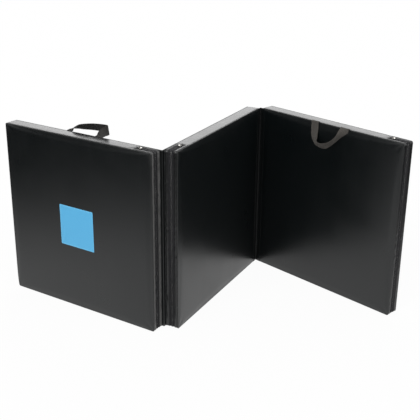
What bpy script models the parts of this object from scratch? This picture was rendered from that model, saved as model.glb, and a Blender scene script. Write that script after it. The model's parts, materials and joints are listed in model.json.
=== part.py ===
"""Folding gymnastics mat: three vinyl-covered foam panels that stand on edge in a zigzag.

The left and middle panels are hinged along their back faces, the middle and right panels along their
front faces, so the mat folds into a stack of three and opens out flat. Each cover has a zip round one
end, and two webbing handles come out of the seams beside the middle panel. Metres, +Z up, front at -Y.
"""

import math

import bmesh
import bpy
from mathutils import Matrix, Vector

# Panels: each is a square of foam in a boxed cover
PANEL_LENGTH = 0.600
PANEL_HEIGHT = 0.600
PANEL_THICKNESS = 0.050
CORNER_RADIUS = 0.008
EDGE_RADIUS = 0.003
CROWN = 0.0016
CROWN_STEPS = ((0.008, 0.006, 0.55), (0.017, 0.008, 0.85), (0.026, 0.010, 1.0))  # (in, corner radius, share)
CORNER_STEPS = 5
VINYL = 0.0012
SHEET_RIM = 0.0035  # how far a face sheet turns round the panel's edge
GAP = 0.0003  # left between pieces that touch
FOAM_SIDE_GAP = 0.0027
FOAM_FACE_GAP = 0.0016

# Folds: each axis stands a little off the faces and ends that it joins
FACE_OFFSET = 0.003
END_OFFSET = 0.002
LEFT_TURN = math.radians(33.4)  # between the left panel and the X axis
MIDDLE_TURN = math.radians(62.2)
RIGHT_TURN = math.radians(46.8)
FLAP_REACH = 0.016
FLAP_THICKNESS = 0.0009
FLAP_SINK = 0.0002  # how far a flap lies below the panel's fullest face
FLAP_NEAR = 0.0031  # from the axis to a plain flap's end
FLAP_SOFTENING = (0.0006, 0.0003)
WELT_NECK = (0.0042, 0.0030)  # from the axis to where the flap meets the welt, outside and inside
WELT_ARC = (20, -260)
WELT_STEPS = 14
WELT_RADIUS = 0.0019
STRIP_INSET = 0.006  # from the hinge strip's ends to the panel's top and bottom

# Zips: each runs along the top edge, down the end and along the bottom edge
ZIP_REACH = 0.070
ZIP_OPENING = 0.022
ZIP_TAPE = 0.0130  # width of one tape
TAPE_THICKNESS = 0.0008
TAPE_OVERRUN = 0.004  # past each end of the opening
CHAIN_WIDTH = 0.005
CHAIN_THICKNESS = 0.0016
CHAIN_RECESS = 0.0002
SLIDER_FROM_END = 0.058
SLIDER_SIZE = (0.0115, 0.0085, 0.0022)
SLIDER_LIFT = 0.0001
SLIDER_SOFTENING = 0.0006
BRIDGE_RADIUS = 0.0020
BRIDGE_WIRE = 0.0005
BRIDGE_RISE = 0.0004  # of the ring's centre over the slider's back
PULL_SIZE = (0.0155, 0.0050, 0.0008)
PULL_RISE = 0.0010  # of the pull's axis over the slider's back
PULL_EYE = (0.0038, 0.0020)
PULL_BAR = 0.0009

# Handles: webbing loops, sewn into the seam at each foot
WEB_WIDTH = 0.030
WEB_THICKNESS = 0.0016
PIVOT_OUT = 0.0012  # from the panel's face
PIVOT_RISE = 0.0018  # above the panel's top
FOOT_THICKNESS = 0.0013
FOOT_ARC = (25, 58)  # degrees round the panel's edge, from level
LEFT_HANDLE_LEAN = 0.0  # level, behind the left panel
RIGHT_HANDLE_LEAN = math.radians(-90)  # hanging down the front of the right panel
STEPS_PER_SPAN = 4
# (along the seam, away from the seam, out of the loop's plane, twist in degrees)
LEFT_LOOP = (
    (0.0651, 0.0000, 0.0000, 0),
    (0.0674, 0.0111, 0.0081, -34),
    (0.0746, 0.0238, 0.0141, -73),
    (0.0713, 0.0330, 0.0143, -83),
    (0.0498, 0.0351, 0.0156, -68),
    (0.0072, 0.0349, 0.0131, -58),
    (-0.0283, 0.0237, 0.0104, -47),
    (-0.0461, 0.0165, 0.0064, -28),
    (-0.0531, 0.0116, 0.0054, -23),
    (-0.0563, 0.0060, 0.0040, -19),
    (-0.0572, 0.0000, 0.0000, 0),
)
RIGHT_LOOP = (
    (-0.054, 0.000, 0.0000, 0),
    (-0.053, 0.025, 0.0003, 0),
    (-0.052, 0.048, 0.0010, -1),
    (-0.044, 0.067, 0.0016, -3),
    (-0.026, 0.075, 0.0020, -4),
    (-0.002, 0.073, 0.0020, -4),
    (0.026, 0.056, 0.0014, -3),
    (0.050, 0.033, 0.0008, -1),
    (0.066, 0.013, 0.0003, 0),
    (0.072, 0.000, 0.0000, 0),
)

# Patch welded to the left panel's front
PATCH_SIDE = 0.140
PATCH_THICKNESS = 0.0005
PATCH_PLACE = (-0.006, 0.291)  # of its centre, along the panel from its middle and up
PATCH_CORNER = 0.002

Z_AXIS = Vector((0, 0, 1))


def material(name, colour, roughness, metallic=0.0):
    made = bpy.data.materials.new(name)
    made.use_nodes = True
    shader = made.node_tree.nodes["Principled BSDF"]
    shader.inputs["Base Color"].default_value = (*colour, 1)
    shader.inputs["Roughness"].default_value = roughness
    shader.inputs["Metallic"].default_value = metallic
    return made


def finish(bm, name, finish_material, place):
    """One named object from bm, whose mesh is in the coordinates of place."""
    bmesh.ops.recalc_face_normals(bm, faces=bm.faces)
    mesh = bpy.data.meshes.new(name)
    bm.to_mesh(mesh)
    bm.free()
    mesh.shade_smooth()
    mesh.set_sharp_from_angle(angle=math.radians(35))
    mesh.materials.append(finish_material)
    made = bpy.data.objects.new(name, mesh)
    bpy.context.scene.collection.objects.link(made)
    made.parent = place
    return made


def cutter(bm, name, place):
    made = finish(bm, name, VINYL_BLACK, place)
    made.hide_render = True
    made.display_type = "WIRE"
    return made


def boolean(target, tool, operation):
    modifier = target.modifiers.new(operation.lower(), "BOOLEAN")
    modifier.operation = operation
    modifier.object = tool


def empty(name, location, turn=0.0, parent=None):
    """A pivot at a place in the coordinates of its parent."""
    made = bpy.data.objects.new(name, None)
    bpy.context.scene.collection.objects.link(made)
    made.location = location
    made.rotation_euler.z = turn
    made.parent = parent
    return made


def block(size, centre):
    bm = bmesh.new()
    bmesh.ops.create_cube(bm, size=1, matrix=Matrix.Translation(centre) @ Matrix.Diagonal((*size, 1)))
    return bm


def bevel(bm, edges, radius, segments):
    bmesh.ops.bevel(bm, geom=edges, offset=radius, segments=segments, profile=0.5, affect="EDGES")


def edges_along(bm, axis):
    return [e for e in bm.edges if abs((e.verts[1].co - e.verts[0].co).normalized()[axis]) > 0.999]


def prism(outline, low, high, axis):
    """The outline, a list of points in the other two axes, extruded along an axis from low to high."""
    bm = bmesh.new()

    def point(a, b):
        return {1: (a, low, b), 2: (a, b, low)}.get(axis, (low, a, b))

    face = bm.faces.new([bm.verts.new(point(a, b)) for a, b in outline])
    grown = bmesh.ops.extrude_face_region(bm, geom=[face])
    move = Vector((0, 0, 0))
    move[axis] = high - low
    bmesh.ops.translate(bm, vec=move, verts=[v for v in grown["geom"] if isinstance(v, bmesh.types.BMVert)])
    return bm


def arc(centre, radius, start, end, steps):
    """Points from one angle to another, in degrees."""
    angles = [math.radians(start + (end - start) * i / steps) for i in range(steps + 1)]
    return [(centre[0] + radius * math.cos(a), centre[1] + radius * math.sin(a)) for a in angles]


def rounded_outline(inset, radius):
    """The panel's outline, drawn in by inset, as points with rounded corners."""
    right = PANEL_LENGTH / 2 - inset - radius
    low = inset + radius
    high = PANEL_HEIGHT - low
    turns = ((right, high, 0), (-right, high, 90), (-right, low, 180), (right, low, 270))
    return [p for x, z, start in turns for p in arc((x, z), radius, start, start + 90, CORNER_STEPS)]


def loft(rings, around=False):
    """Skin over rings of (inset, corner radius, y), closed round the section where around is set."""
    bm = bmesh.new()
    made = [[bm.verts.new((x, y, z)) for x, z in rounded_outline(inset, radius)] for inset, radius, y in rings]
    pairs = zip(made, made[1:] + made[:1]) if around else zip(made, made[1:])
    for first, second in pairs:
        for i in range(len(first)):
            bm.faces.new((first[i - 1], first[i], second[i], second[i - 1]))
    return bm, made


def crown_rings(inset, y, rise):
    """The last rings of a face, where the padding stands fuller than the sewn edge."""
    return [(inset + step, radius, y + rise * share) for step, radius, share in CROWN_STEPS]


def foam_core():
    """The foam block, a little smaller than its cover and crowned like it."""
    half = PANEL_THICKNESS / 2 - CROWN - FOAM_FACE_GAP
    front = [(FOAM_SIDE_GAP, CORNER_RADIUS - FOAM_SIDE_GAP, half), *crown_rings(FOAM_SIDE_GAP, half, CROWN)]
    rings = [(inset, radius, -y) for inset, radius, y in reversed(front)] + front
    bm, made = loft(rings)
    bm.faces.new(made[0])
    bm.faces.new(made[-1])
    return bm


def face_sheet(sign):
    """A face of the cover: crowned vinyl whose rim turns round the panel's edge, as an open tray."""
    outer = PANEL_THICKNESS / 2 - CROWN
    turn = arc((EDGE_RADIUS, outer - EDGE_RADIUS), EDGE_RADIUS, 180, 90, 4)
    rings = [(0, CORNER_RADIUS, outer - SHEET_RIM)]
    rings += [(inset, CORNER_RADIUS - inset, y) for inset, y in turn]
    rings += crown_rings(EDGE_RADIUS, outer, CROWN)
    bm, made = loft([(inset, radius, sign * y) for inset, radius, y in rings])
    bm.faces.new(made[-1])
    return bm


def wrap_wall(made):
    """Gives an open tray the vinyl's thickness, inwards."""
    solidify = made.modifiers.new("vinyl", "SOLIDIFY")
    solidify.thickness = VINYL
    solidify.offset = -1
    solidify.use_even_offset = True


def boxing():
    """The band of vinyl round the panel's four edges, between the two face sheets."""
    half = PANEL_THICKNESS / 2 - CROWN - SHEET_RIM - GAP
    inner = CORNER_RADIUS - VINYL
    rings = [(0, CORNER_RADIUS, -half), (0, CORNER_RADIUS, half), (VINYL, inner, half), (VINYL, inner, -half)]
    return loft(rings, around=True)[0]


def zip_slot():
    """Cuts the opening that the zip closes out of the top, end and bottom of the boxing."""
    reach = ZIP_REACH + CORNER_RADIUS
    size = (reach, ZIP_OPENING, PANEL_HEIGHT + 2 * CORNER_RADIUS)
    return block(size, (PANEL_LENGTH / 2 - ZIP_REACH + reach / 2, 0, PANEL_HEIGHT / 2))


def zip_band(inset, thickness, low, high, overrun):
    """A strip along the zip's run, over the top, down the end and under the bottom of the panel."""
    start = PANEL_LENGTH / 2 - ZIP_REACH - overrun

    def side(depth):
        radius = CORNER_RADIUS - depth
        right = PANEL_LENGTH / 2 - CORNER_RADIUS
        top = arc((right, PANEL_HEIGHT - CORNER_RADIUS), radius, 90, 0, 5)
        bottom = arc((right, CORNER_RADIUS), radius, 0, -90, 5)
        return [(start, PANEL_HEIGHT - depth), *top, *bottom, (start, depth)]

    return prism(side(inset) + side(inset + thickness)[::-1], low, high, 1)


def slider_body():
    """The slider's top plate, its origin on the zip's surface."""
    length, width, height = SLIDER_SIZE
    bm = block((length, width, height), (0, 0, SLIDER_LIFT + height / 2))
    bevel(bm, edges_along(bm, 2), width * 0.3, 3)
    top = max(bm.faces, key=lambda f: f.calc_center_median().z)
    bevel(bm, list(top.edges), SLIDER_SOFTENING, 2)
    return bm


def slider_bridge():
    """A wire ring set upright, whose upper half is the bridge that the pull hangs on."""
    bm = bmesh.new()
    section = bmesh.ops.create_circle(bm, segments=8, radius=BRIDGE_WIRE)["verts"]
    bmesh.ops.translate(bm, vec=(BRIDGE_RADIUS, 0, 0), verts=section)
    centre = (0, 0, SLIDER_LIFT + SLIDER_SIZE[2] + BRIDGE_RISE)
    bmesh.ops.translate(bm, vec=centre, verts=section)
    ring = {"cent": centre, "axis": (0, 1, 0), "angle": math.tau, "steps": 18}
    bmesh.ops.spin(bm, geom=bm.edges[:], use_merge=True, **ring)
    bmesh.ops.remove_doubles(bm, verts=bm.verts, dist=1e-6)
    return bm


def pull_tab():
    """The pull, lying back from its bar at the origin, with an eye that goes round the bridge."""
    length, width, thickness = PULL_SIZE
    bar = PULL_BAR / 2
    bm = block((length, width, thickness), (bar - length / 2, 0, 0))
    bevel(bm, edges_along(bm, 2), width * 0.25, 2)
    return bm


def pull_eye():
    length, width = PULL_EYE
    return block((length, width, PULL_SIZE[2] * 3), (-PULL_BAR / 2 - length / 2, 0, 0))


def catmull_rom(points, steps):
    """Points on a smooth curve through the given ones."""
    route = [Vector(p) for p in points]
    route = [2 * route[0] - route[1], *route, 2 * route[-1] - route[-2]]
    found = []
    for i in range(1, len(route) - 2):
        a, b, c, d = route[i - 1 : i + 3]
        for k in range(steps):
            t = k / steps
            found.append(
                0.5 * (2 * b + (c - a) * t + (2 * a - 5 * b + 4 * c - d) * t**2 + (3 * b - a - 3 * c + d) * t**3)
            )
    return [*found, route[-2]]


def webbing_loop(loop, lean, outward):
    """A webbing loop, flat at its sewn ends and twisted between them, leaning by an angle over level."""
    away = Vector((0, outward * math.cos(lean), math.sin(lean)))
    normal = Vector((0, -outward * math.sin(lean), math.cos(lean)))
    along = Vector((1, 0, 0))
    middle = sum(p[0] for p in loop) / len(loop)
    samples = catmull_rom(loop, STEPS_PER_SPAN)
    centres = [along * a + away * r + normal * rise for a, r, rise, twist in samples]
    bm = bmesh.new()
    sections = []
    for i, (a, r, rise, twist) in enumerate(samples):
        run = (centres[min(i + 1, len(centres) - 1)] - centres[max(i - 1, 0)]).normalized()
        if i in (0, len(samples) - 1):
            run = away * (1 if i == 0 else -1)
        across = run.cross(normal).normalized()
        if across.dot(along * (a - middle) + away * r) < 0:
            across = -across
        up = run.cross(across)
        if up.dot(normal) < 0:
            up = -up
        wide = across * math.cos(math.radians(twist)) + up * math.sin(math.radians(twist))
        thick = run.cross(wide).normalized()
        corners = ((-1, -1), (1, -1), (1, 1), (-1, 1))
        half = Vector((WEB_WIDTH / 2, WEB_THICKNESS / 2))
        sections.append([bm.verts.new(centres[i] + wide * u * half.x + thick * v * half.y) for u, v in corners])
    for first, second in zip(sections, sections[1:]):
        turned = (second[1].co - first[1].co).length > (second[3].co - first[1].co).length
        ordered = [second[k] for k in (2, 3, 0, 1)] if turned else second
        for k in range(4):
            bm.faces.new((first[k - 1], first[k], ordered[k], ordered[k - 1]))
    bm.faces.new(sections[0])
    bm.faces.new(sections[-1])
    return bm


def handle_foot(along, outward):
    """The sewn end of the webbing, from the seam round the panel's edge."""
    outer = PANEL_THICKNESS / 2 - CROWN - EDGE_RADIUS
    inner_radius = EDGE_RADIUS + GAP
    centre = (outer, PANEL_HEIGHT - EDGE_RADIUS)
    outside = arc(centre, inner_radius + FOOT_THICKNESS, *FOOT_ARC, 5)
    inside = arc(centre, inner_radius, *FOOT_ARC, 5)
    outline = [(outward * y, z) for y, z in outside + inside[::-1]]
    return prism(outline, along - WEB_WIDTH / 2, along + WEB_WIDTH / 2, 0)


def fold_flap(welted):
    """Cross-section of a hinge strip: p away from the axis along the panel, q towards the panel."""
    top = FACE_OFFSET + FLAP_SINK
    low = top - FLAP_THICKNESS
    edge = [(FLAP_REACH, top), (FLAP_REACH, low)]
    if not welted:
        along, deep = FLAP_SOFTENING
        return [*edge, (FLAP_NEAR + along, low), (FLAP_NEAR, low + deep), (FLAP_NEAR, top)]
    outside, inside = WELT_NECK
    return [*edge, (outside, low), *arc((0, 0), WELT_RADIUS, *WELT_ARC, WELT_STEPS), (inside, top)]


def hinge_piece(name, place, end_x, face_y, welted):
    """A hinge strip on the panel's end at end_x, by its face at face_y."""
    end_sign = math.copysign(1, end_x)
    face_sign = math.copysign(1, face_y)
    axis_x = end_x + end_sign * END_OFFSET
    axis_y = face_y + face_sign * FACE_OFFSET
    outline = [(axis_x - end_sign * p, axis_y - face_sign * q) for p, q in fold_flap(welted)]
    return finish(prism(outline, STRIP_INSET, PANEL_HEIGHT - STRIP_INSET, 2), name, HINGE_VINYL, place)


def add_panel(side, place):
    """Foam, cover and zip of one panel. Its zip is at +X, and its faces look along Y."""
    finish(foam_core(), side + "_foam_core", FOAM, place)
    for face, sign in FACES[side].items():
        wrap_wall(finish(face_sheet(sign), f"{side}_{face}_sheet", VINYL_BLACK, place))
    band = finish(boxing(), side + "_boxing", BOXING_VINYL, place)
    boolean(band, cutter(zip_slot(), side + "_zip_slot", place), "DIFFERENCE")
    tape_inset = VINYL + GAP
    near = CHAIN_WIDTH / 2 + GAP
    for face, sign in FACES[side].items():
        low, high = sorted((sign * near, sign * (near + ZIP_TAPE)))
        tape = zip_band(tape_inset, TAPE_THICKNESS, low, high, TAPE_OVERRUN)
        finish(tape, f"{side}_zip_tape_{face}", ZIP_TAPE_BLACK, place)
    chain = zip_band(CHAIN_RECESS, CHAIN_THICKNESS, -CHAIN_WIDTH / 2, CHAIN_WIDTH / 2, -GAP)
    finish(chain, side + "_zip_chain", ZIP_NYLON, place)
    at_slider = empty(side + "_slider_pivot", (PANEL_LENGTH / 2 - SLIDER_FROM_END, 0, PANEL_HEIGHT), 0, place)
    body = finish(slider_body(), side + "_zip_slider", SLIDER_METAL, at_slider)
    boolean(body, cutter(slider_bridge(), side + "_bridge_ring", at_slider), "UNION")
    at_pull = empty(side + "_pull_pivot", (0, 0, SLIDER_LIFT + SLIDER_SIZE[2] + PULL_RISE), 0, at_slider)
    tab = finish(pull_tab(), side + "_zip_pull", PULL_METAL, at_pull)
    boolean(tab, cutter(pull_eye(), side + "_eye_cut", at_pull), "DIFFERENCE")


def add_handle(side, place, loop, lean, outward):
    """A webbing loop over its two sewn ends, on the face that outward points to."""
    for end, along in (("near", loop[0][0]), ("far", loop[-1][0])):
        finish(handle_foot(along, outward), f"{side}_handle_{end}_foot", WEBBING, place)
    edge = (0, outward * (PANEL_THICKNESS / 2 + PIVOT_OUT), PANEL_HEIGHT + PIVOT_RISE)
    swing = empty(side + "_handle_pivot", edge, 0, place)
    finish(webbing_loop(loop, lean, outward), side + "_handle", WEBBING, swing)


def add_patch(place):
    front = FACES["left"]["front"] * (PANEL_THICKNESS / 2 + GAP + PATCH_THICKNESS / 2)
    bm = block((PATCH_SIDE, PATCH_THICKNESS, PATCH_SIDE), (PATCH_PLACE[0], front, PATCH_PLACE[1]))
    bevel(bm, edges_along(bm, 1), PATCH_CORNER, 3)
    finish(bm, "blue_patch", PATCH_BLUE, place)


def heading(turn):
    return Vector((math.cos(turn), math.sin(turn), 0))


for old in list(bpy.data.objects):
    bpy.data.objects.remove(old)

VINYL_BLACK = material("cover_vinyl", (0.012, 0.013, 0.013), 0.32)
BOXING_VINYL = material("boxing_vinyl", (0.014, 0.014, 0.015), 0.34)
HINGE_VINYL = material("hinge_vinyl", (0.012, 0.013, 0.013), 0.36)
FOAM = material("polyethylene_foam", (0.72, 0.72, 0.70), 0.95)
ZIP_TAPE_BLACK = material("zip_tape", (0.010, 0.010, 0.011), 0.85)
ZIP_NYLON = material("zip_nylon", (0.016, 0.016, 0.017), 0.45)
SLIDER_METAL = material("slider_nickel", (0.66, 0.64, 0.60), 0.25, 1.0)
PULL_METAL = material("pull_enamel", (0.02, 0.02, 0.02), 0.4)
WEBBING = material("handle_webbing", (0.030, 0.028, 0.026), 0.9)
PATCH_BLUE = material("patch_vinyl", (0.075, 0.480, 0.870), 0.4)

# Where the fronts and backs are, on each panel's own Y axis
FACES = {
    "left": {"front": -1, "back": 1},
    "middle": {"front": 1, "back": -1},
    "right": {"front": -1, "back": 1},
}

# Plan of the zigzag from the left fold's axis, then moved to put the origin under its middle
along_left = -heading(-LEFT_TURN)
along_middle = heading(MIDDLE_TURN)
along_right = heading(-RIGHT_TURN)
front_left = Z_AXIS.cross(along_left)
front_middle = -Z_AXIS.cross(along_middle)
front_right = -Z_AXIS.cross(along_right)
half_run = END_OFFSET + PANEL_LENGTH / 2
to_centre = FACE_OFFSET + PANEL_THICKNESS / 2
left_axis = Vector((0, 0, 0))
right_axis = 2 * half_run * along_middle + 2 * to_centre * front_middle
centres = {
    "left": left_axis + half_run * along_left + to_centre * front_left,
    "middle": left_axis + half_run * along_middle + to_centre * front_middle,
    "right": right_axis + half_run * along_right - to_centre * front_right,
}
runs = {"left": along_left, "middle": along_middle, "right": along_right}
fronts = {"left": front_left, "middle": front_middle, "right": front_right}
corners = [
    centres[side] + a * PANEL_LENGTH / 2 * runs[side] + b * PANEL_THICKNESS / 2 * fronts[side]
    for side in centres
    for a in (-1, 1)
    for b in (-1, 1)
]
origin = Vector([(min(c[k] for c in corners) + max(c[k] for c in corners)) / 2 for k in range(3)])

left_fold = empty("left_fold_axis", left_axis - origin)
right_fold = empty("right_fold_axis", right_axis - origin)
middle_base = empty("middle_base", centres["middle"] - origin)
left_place = empty("left_panel_place", centres["left"] - left_axis, -LEFT_TURN, left_fold)
middle_place = empty("middle_panel_place", (0, 0, 0), math.pi + MIDDLE_TURN, middle_base)
right_place = empty("right_panel_place", centres["right"] - right_axis, -RIGHT_TURN, right_fold)

add_panel("left", left_place)
add_panel("middle", middle_place)
add_panel("right", right_place)

half_length = PANEL_LENGTH / 2
half_thickness = PANEL_THICKNESS / 2
hinge_piece("left_hinge_welt", middle_place, half_length, -half_thickness, True)
hinge_piece("left_hinge_flap", left_place, half_length, half_thickness, False)
hinge_piece("right_hinge_welt", middle_place, -half_length, half_thickness, True)
hinge_piece("right_hinge_flap", right_place, -half_length, -half_thickness, False)

add_handle("left", left_place, LEFT_LOOP, LEFT_HANDLE_LEAN, 1)
add_handle("right", right_place, RIGHT_LOOP, RIGHT_HANDLE_LEAN, -1)
add_patch(left_place)
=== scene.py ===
import json
import math

import bmesh
import bpy
import numpy as np
from mathutils import Matrix, Vector, noise


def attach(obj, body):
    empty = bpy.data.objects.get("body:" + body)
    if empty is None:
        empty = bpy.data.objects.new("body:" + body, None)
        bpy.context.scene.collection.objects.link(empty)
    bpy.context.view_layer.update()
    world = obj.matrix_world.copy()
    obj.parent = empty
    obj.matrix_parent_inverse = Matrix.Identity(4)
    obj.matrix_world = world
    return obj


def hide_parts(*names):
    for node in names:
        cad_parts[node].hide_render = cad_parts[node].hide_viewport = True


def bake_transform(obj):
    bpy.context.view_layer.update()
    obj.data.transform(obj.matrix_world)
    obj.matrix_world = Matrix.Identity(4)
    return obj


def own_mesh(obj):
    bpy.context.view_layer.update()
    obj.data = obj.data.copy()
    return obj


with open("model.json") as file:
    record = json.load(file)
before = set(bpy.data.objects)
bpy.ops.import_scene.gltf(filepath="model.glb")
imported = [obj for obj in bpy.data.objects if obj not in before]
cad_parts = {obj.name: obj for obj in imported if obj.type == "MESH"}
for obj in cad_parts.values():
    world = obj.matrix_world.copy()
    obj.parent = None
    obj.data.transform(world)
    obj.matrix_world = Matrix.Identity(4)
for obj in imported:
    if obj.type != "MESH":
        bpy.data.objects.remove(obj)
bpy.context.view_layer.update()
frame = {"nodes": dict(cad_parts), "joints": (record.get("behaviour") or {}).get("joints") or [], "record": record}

# Foam pads: one slab of white closed-cell foam fills each of the three panels. It is cut from sheet
# with its corners rounded, a little under the cover's size, and its faces stand full in the middle.
SIDES = ("left", "middle", "right")
PANEL = 0.600  # length and height of every panel
HALF = PANEL / 2
CORNER = 0.008  # radius of a panel's corners
EDGE_FACE = 0.0240  # from the panel's middle to its face, at the sewn edge
CROWN = 0.0010  # how much fuller the face stands in the middle
FOAM_SIDE = 0.0035  # left between the foam and the cover's edge
FOAM_UNDER = 0.0018  # between the foam and the cover's face
FOAM_STEPS = ((0.008, 0.55), (0.012, 0.30), (0.016, 0.15))  # (inset, its share of the crown)
SETTLED_CORNER = {"left": (0.004, 0.020)}  # how far a lower free corner has drawn in, over what length

joints = {joint["name"]: joint for joint in frame["joints"]}
mounts = {mount["name"]: mount for mount in frame["record"]["mounts"]}


def panel_place(side):
    """The panel's own axes: X along its length, Y through its thickness, Z up, from the floor."""
    along = Vector(joints[side + "_zip_run"]["axis"]).normalized()
    up = Vector((0, 0, 1))
    turn = Matrix((along, up.cross(along), up)).transposed().to_4x4()
    return Matrix.Translation(mounts[side + "_standing_edge"]["pos_m"]) @ turn


PLACES = {side: panel_place(side) for side in SIDES}
FRONT = {"left": -1, "middle": 1, "right": -1}  # the side of Y that each panel's front is on


def begin():
    """Nothing is selected when a new piece is started."""
    if bpy.context.object and bpy.context.object.mode != "OBJECT":
        bpy.ops.object.mode_set(mode="OBJECT")
    bpy.ops.object.select_all(action="DESELECT")


def edit():
    """Edit mode, with nothing selected."""
    bpy.ops.object.mode_set(mode="EDIT")
    bpy.ops.mesh.select_all(action="DESELECT")


def choose(kind, test):
    """Selects the faces or edges of the mesh in edit mode that pass the test, and no others."""
    obj = bpy.context.object
    bpy.ops.mesh.select_mode(type={"faces": "FACE", "edges": "EDGE"}[kind])
    bpy.ops.mesh.select_all(action="DESELECT")
    bm = bmesh.from_edit_mesh(obj.data)
    for part in getattr(bm, kind):
        part.select = bool(test(part))
    bm.select_flush_mode()
    bmesh.update_edit_mesh(obj.data)


def runs_along(edge, axis):
    step = edge.verts[1].co - edge.verts[0].co
    return abs(step[axis]) > 0.99 * step.length


def apply_all(obj):
    """Applies what stands in the modifier stack, from the top."""
    bpy.context.view_layer.objects.active = obj
    for modifier in list(obj.modifiers):
        bpy.ops.object.modifier_apply(modifier=modifier.name)


def block(length, depth, height, middle=(0, 0, 0)):
    """A new box of the given size."""
    begin()
    bpy.ops.mesh.primitive_cube_add(size=1, location=middle)
    bpy.ops.transform.resize(value=(length, depth, height))
    bpy.ops.object.transform_apply(location=True, scale=True)
    return bpy.context.object


def give_wall(obj, thickness, offset=-1):
    """Makes a sheet as thick as given, from its face inwards, or on both sides of it at offset 0."""
    wall = obj.modifiers.new("wall", "SOLIDIFY")
    wall.thickness = thickness
    wall.offset = offset
    apply_all(obj)


def soften_edges(obj, width, segments, angle):
    soft = obj.modifiers.new("soft", "BEVEL")
    soft.width = width
    soft.segments = segments
    soft.angle_limit = math.radians(angle)
    apply_all(obj)


def subdivide_smoothly(obj):
    smooth = obj.modifiers.new("smooth", "SUBSURF")
    smooth.levels = smooth.render_levels = 1
    smooth.boundary_smooth = "PRESERVE_CORNERS"
    apply_all(obj)


def coordinates(obj):
    found = np.empty(len(obj.data.vertices) * 3, np.float32)
    obj.data.vertices.foreach_get("co", found)
    return found.reshape(-1, 3).astype(float)


def set_coordinates(obj, points):
    obj.data.vertices.foreach_set("co", np.asarray(points, np.float32).ravel())
    obj.data.update()


def draw_corner_in(side, obj):
    """Draws in the lower corner at the panel's free end, where the mat has settled on it."""
    pull, reach = SETTLED_CORNER.get(side, (0.0, 1.0))
    points = coordinates(obj)
    points[:, 0] += pull * np.exp(-(HALF + points[:, 0] + points[:, 2]) / reach)
    set_coordinates(obj, points)


def settle(obj, name, body, finish, place=Matrix.Identity(4), angle=35):
    """Names a piece, puts its place in its mesh, smooths it, and ties it to its body and finish."""
    bpy.ops.object.mode_set(mode="OBJECT")
    obj.name = obj.data.name = name
    obj.data.transform(place @ obj.matrix_world)
    obj.matrix_world = Matrix.Identity(4)
    begin()
    obj.select_set(True)
    bpy.context.view_layer.objects.active = obj
    bpy.ops.object.shade_smooth_by_angle(angle=math.radians(angle))
    obj.data.materials.clear()
    obj.data.materials.append(finish)
    if body:
        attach(obj, body)


def node(tree, kind, links=None, **settings):
    """A node with its settings, its inputs given as values or as the sockets that feed them."""
    made = tree.nodes.new(kind)
    for name, value in settings.items():
        setattr(made, name, value)
    for name, value in (links or {}).items():
        if isinstance(value, bpy.types.NodeSocket):
            tree.links.new(value, made.inputs[name])
        else:
            made.inputs[name].default_value = value
    return made


def maths_in(tree):
    """A function for sums in the tree, on values or on the sockets that feed them."""

    def maths(operation, *terms):
        return node(tree, "ShaderNodeMath", dict(enumerate(terms)), operation=operation).outputs[0]

    return maths


def new_finish(name, **values):
    """A material with its shader's plain values set, as (material, tree, shader)."""
    made = bpy.data.materials.new(name)
    made.use_nodes = True
    shader = made.node_tree.nodes["Principled BSDF"]
    for socket, value in values.items():
        shader.inputs[socket.replace("_", " ")].default_value = value
    return made, made.node_tree, shader


def bump(tree, shader, height, distance, strength=1.0):
    made = node(tree, "ShaderNodeBump", {"Height": height, "Distance": distance, "Strength": strength})
    tree.links.new(made.outputs["Normal"], shader.inputs["Normal"])


def foam_finish():
    made, tree, shader = new_finish("polyethylene_foam", Roughness=0.9, Specular_IOR_Level=0.25)
    place = node(tree, "ShaderNodeTexCoord").outputs["Object"]
    cells = node(tree, "ShaderNodeTexVoronoi", {"Vector": place, "Scale": 700.0})
    shade = node(tree, "ShaderNodeValToRGB", {"Fac": cells.outputs["Distance"]})
    shade.color_ramp.elements[0].color = (0.74, 0.74, 0.72, 1)
    shade.color_ramp.elements[1].color = (0.60, 0.60, 0.58, 1)
    tree.links.new(shade.outputs["Color"], shader.inputs["Base Color"])
    bump(tree, shader, cells.outputs["Distance"], 0.0005, 0.6)
    return made


FOAM = foam_finish()


def foam_pad(side):
    size = PANEL - 2 * FOAM_SIDE
    pad = block(size, 2 * (EDGE_FACE - FOAM_UNDER), size, (0, 0, HALF))
    edit()
    choose("edges", lambda e: runs_along(e, 1))
    bpy.ops.mesh.bevel(offset=CORNER - FOAM_SIDE, segments=4)
    for sign in (-1, 1):
        choose("faces", lambda f: f.normal.y * sign > 0.9)
        inner = size / 2
        for inset, share in FOAM_STEPS:
            bpy.ops.mesh.extrude_region_move(
                TRANSFORM_OT_translate={"value": (0, sign * CROWN * share, 0)}
            )
            scale = (inner - inset) / inner
            bpy.ops.transform.resize(value=(scale, 1, scale), center_override=(0, 0, HALF))
            inner -= inset
    bpy.ops.object.mode_set(mode="OBJECT")
    draw_corner_in(side, pad)
    settle(pad, side + "_foam_pad", side + "_panel", FOAM, PLACES[side])
    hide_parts(side + "_foam_core")


for side in SIDES:
    foam_pad(side)

# Face covers: the black vinyl on both faces of every panel, knitted fabric coated with PVC and pressed
# with a fine grain. Each is sewn inside out to the band round the edge, so it turns over the edge there,
# and the seam gathers it a little, most at the corners.
GRID = 72  # cells along each side of a face
GRADING = 0.36  # how much smaller the cells are at the edge
EDGE_ROUND = 0.002
EDGE_TURNS = 4
RIM = 0.0041  # from the face's edge to the seam
SEAM_TUCK = 0.0013  # how far the vinyl turns in at the seam
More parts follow.
